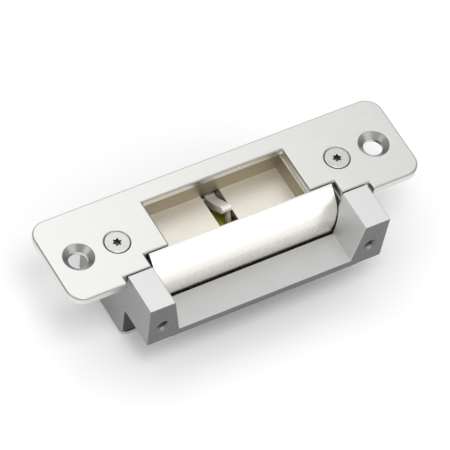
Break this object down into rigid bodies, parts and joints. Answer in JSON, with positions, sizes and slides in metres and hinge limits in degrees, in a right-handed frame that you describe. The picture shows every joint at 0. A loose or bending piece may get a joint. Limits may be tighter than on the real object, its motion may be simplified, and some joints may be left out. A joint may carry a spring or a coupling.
{
  "type": "electric door strike",
  "caption": "Electric door strike with a drilled face plate, cast housing with ramp and ears, a swinging keeper, a solenoid lock and a latch sensing lever.",
  "frame": {"origin": "centre of the footprint of the whole strike, on the underside of the bottom cover", "axes": "+X along the face plate's length, +Y across the plate towards its uninterrupted back edge, +Z out of the plate's front face towards the door"},
  "size_m": [0.1238, 0.044, 0.0331],
  "materials": {
    "stainless": "satin brushed stainless steel, rounded edges",
    "cast_zinc": "die-cast zinc alloy, fine as-cast grain, machined lighter on the ramp and ear tops",
    "keeper_nickel": "satin nickel plate, smooth and slightly warm",
    "zinc_steel": "bright zinc-plated steel, fine grain",
    "spring_steel": "drawn spring wire, semi-bright",
    "soft_iron": "turned soft iron, fine turning marks",
    "copper": "enamelled copper wire, glossy",
    "yellow_tape": "yellow polyester coil tape, semi-gloss",
    "black_plastic": "black moulded nylon, fine texture",
    "green_plastic": "green moulded terminal housing, semi-matte",
    "red_wire": "red wire insulation, semi-gloss"
  },
  "bodies": {
    "housing_body": {"face_plate": "stainless", "plate_screw_left": "zinc_steel", "plate_screw_right": "zinc_steel", "housing": "cast_zinc", "keeper_pin_left": "zinc_steel", "keeper_pin_right": "zinc_steel", "keeper_spring_left": "spring_steel", "keeper_spring_right": "spring_steel", "latch_lever_pin": "zinc_steel", "latch_lever_spring": "spring_steel", "switch_body": "black_plastic", "switch_screw": "zinc_steel", "solenoid_frame": "zinc_steel", "coil_bobbin": "black_plastic", "coil_winding": "copper", "coil_tape": "yellow_tape", "solenoid_core": "soft_iron", "plunger_spring": "spring_steel", "slide_support": "black_plastic", "terminal_block": "green_plastic", "terminal_screw_left": "zinc_steel", "terminal_screw_right": "zinc_steel", "coil_lead_left": "red_wire", "coil_lead_right": "black_plastic", "bottom_cover": "zinc_steel", "cover_screw_front_left": "zinc_steel", "cover_screw_front_right": "zinc_steel", "cover_screw_back_left": "zinc_steel", "cover_screw_back_right": "zinc_steel", "solenoid_screw_left": "zinc_steel", "solenoid_screw_right": "zinc_steel", "support_screw": "zinc_steel"},
    "keeper": {"keeper": "keeper_nickel"},
    "latch_lever": {"latch_lever": "zinc_steel"},
    "switch_button": {"switch_button": "black_plastic"},
    "plunger": {"plunger": "soft_iron", "locking_slide": "zinc_steel", "plunger_clip": "spring_steel"}
  },
  "joints": [
    {"name": "keeper_swing", "type": "hinge", "parent": "housing_body", "child": "keeper", "pos_m": [0, 0.00876, 0.0185], "axis": [1, 0, 0], "range_deg": [0, 50], "stiffness_Nm_per_rad": 0.02, "springref_deg": -57.3, "deforming": ["keeper_spring_left", "keeper_spring_right"]},
    {"name": "latch_lever_tilt", "type": "hinge", "parent": "housing_body", "child": "latch_lever", "pos_m": [0, 0.01776, 0.0174], "axis": [1, 0, 0], "range_deg": [0, 8], "stiffness_Nm_per_rad": 0.002, "springref_deg": -34.38, "deforming": ["latch_lever_spring"]},
    {"name": "plunger_slide", "type": "slide", "parent": "housing_body", "child": "plunger", "axis": [-1, 0, 0], "range_m": [0, 0.003], "stiffness_N_per_m": 150, "springref_m": -0.004, "deforming": ["plunger_spring"]},
    {"name": "switch_press", "type": "slide", "parent": "housing_body", "child": "switch_button", "axis": [0, 0, -1], "range_m": [0, 0.0016]}
  ],
  "couplings": [
    {"joint": "switch_press", "follows": "latch_lever_tilt", "m_per_rad": 0.0113}
  ]
}
